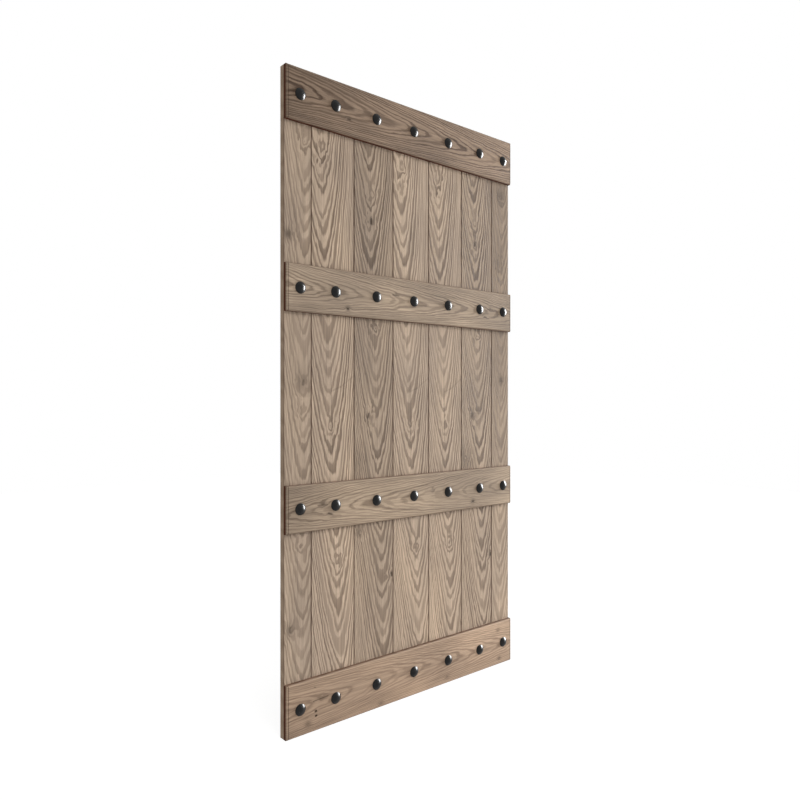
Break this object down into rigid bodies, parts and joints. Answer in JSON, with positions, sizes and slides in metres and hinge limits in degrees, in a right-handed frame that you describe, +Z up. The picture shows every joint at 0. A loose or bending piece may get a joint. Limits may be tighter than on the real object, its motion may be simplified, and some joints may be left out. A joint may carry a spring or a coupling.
{
  "type": "barn door slab",
  "caption": "Plank barn door slab: upright tongue-and-groove boards held by bevelled cross battens with domed studs, made to hang from a sliding rail.",
  "frame": {"origin": "middle of the boards' top edge, the face that top hangers bear on", "axes": "+Z up, +X to the right across the batten side, -Y out of the batten side"},
  "size_m": [1.0668, 0.0481, 2.1336],
  "materials": {
    "board_wood": "weathered grey-brown stain, matt",
    "batten_wood": "weathered grey-brown stain, matt",
    "stud_metal": "satin black"
  },
  "bodies": {
    "root": {"board_1": "board_wood", "board_2": "board_wood", "board_3": "board_wood", "board_4": "board_wood", "board_5": "board_wood", "board_6": "board_wood", "board_7": "board_wood", "bottom_batten": "batten_wood", "bottom_batten_stud_1": "stud_metal", "bottom_batten_stud_2": "stud_metal", "bottom_batten_stud_3": "stud_metal", "bottom_batten_stud_4": "stud_metal", "bottom_batten_stud_5": "stud_metal", "bottom_batten_stud_6": "stud_metal", "bottom_batten_stud_7": "stud_metal", "lower_middle_batten": "batten_wood", "lower_middle_batten_stud_1": "stud_metal", "lower_middle_batten_stud_2": "stud_metal", "lower_middle_batten_stud_3": "stud_metal", "lower_middle_batten_stud_4": "stud_metal", "lower_middle_batten_stud_5": "stud_metal", "lower_middle_batten_stud_6": "stud_metal", "lower_middle_batten_stud_7": "stud_metal", "upper_middle_batten": "batten_wood", "upper_middle_batten_stud_1": "stud_metal", "upper_middle_batten_stud_2": "stud_metal", "upper_middle_batten_stud_3": "stud_metal", "upper_middle_batten_stud_4": "stud_metal", "upper_middle_batten_stud_5": "stud_metal", "upper_middle_batten_stud_6": "stud_metal", "upper_middle_batten_stud_7": "stud_metal", "top_batten": "batten_wood", "top_batten_stud_1": "stud_metal", "top_batten_stud_2": "stud_metal", "top_batten_stud_3": "stud_metal", "top_batten_stud_4": "stud_metal", "top_batten_stud_5": "stud_metal", "top_batten_stud_6": "stud_metal", "top_batten_stud_7": "stud_metal"}
  },
  "joints": []
}
